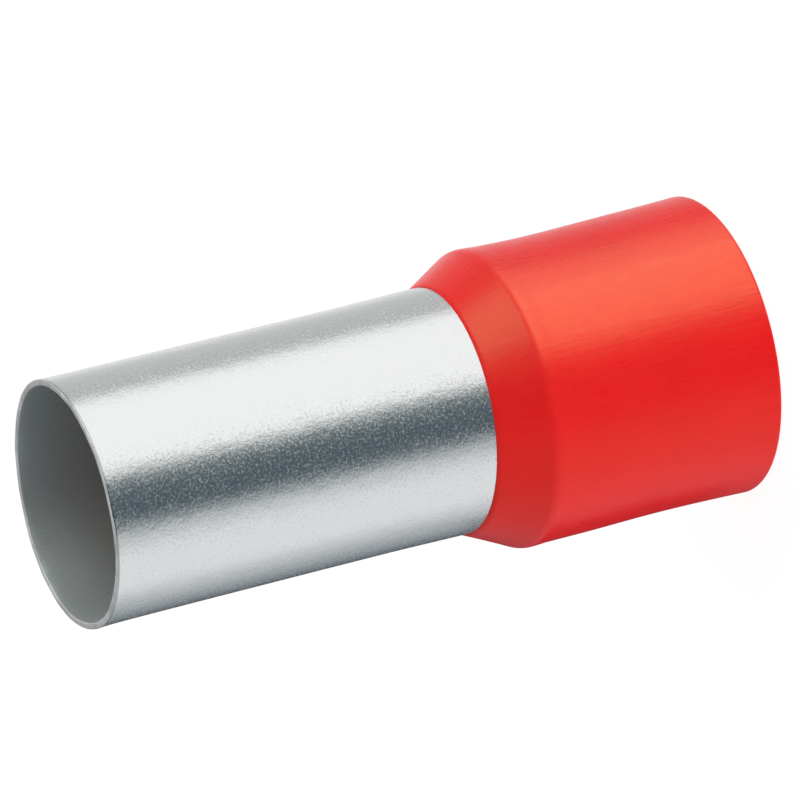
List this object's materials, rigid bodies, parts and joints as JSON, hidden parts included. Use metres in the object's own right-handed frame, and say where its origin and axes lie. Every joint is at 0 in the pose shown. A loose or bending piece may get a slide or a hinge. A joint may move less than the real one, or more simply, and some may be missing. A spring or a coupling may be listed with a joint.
{
  "type": "wire ferrule",
  "caption": "Insulated wire end ferrule: a thin tinned copper sleeve, flared into a funnel at its rear, seated in a waisted red plastic collar with a conical nose.",
  "frame": {"origin": "centre of the collar's rim, where it stands", "axes": "+Z along the ferrule's axis, from the collar's rim towards the sleeve's mouth; X and Y are free"},
  "size_m": [0.0188, 0.0188, 0.044],
  "materials": {
    "sleeve": "satin tin plating on copper, fine drawn grain along the tube",
    "collar": "satin moulded red polypropylene"
  },
  "bodies": {
    "root": {"sleeve": "sleeve", "collar": "collar"}
  },
  "joints": []
}
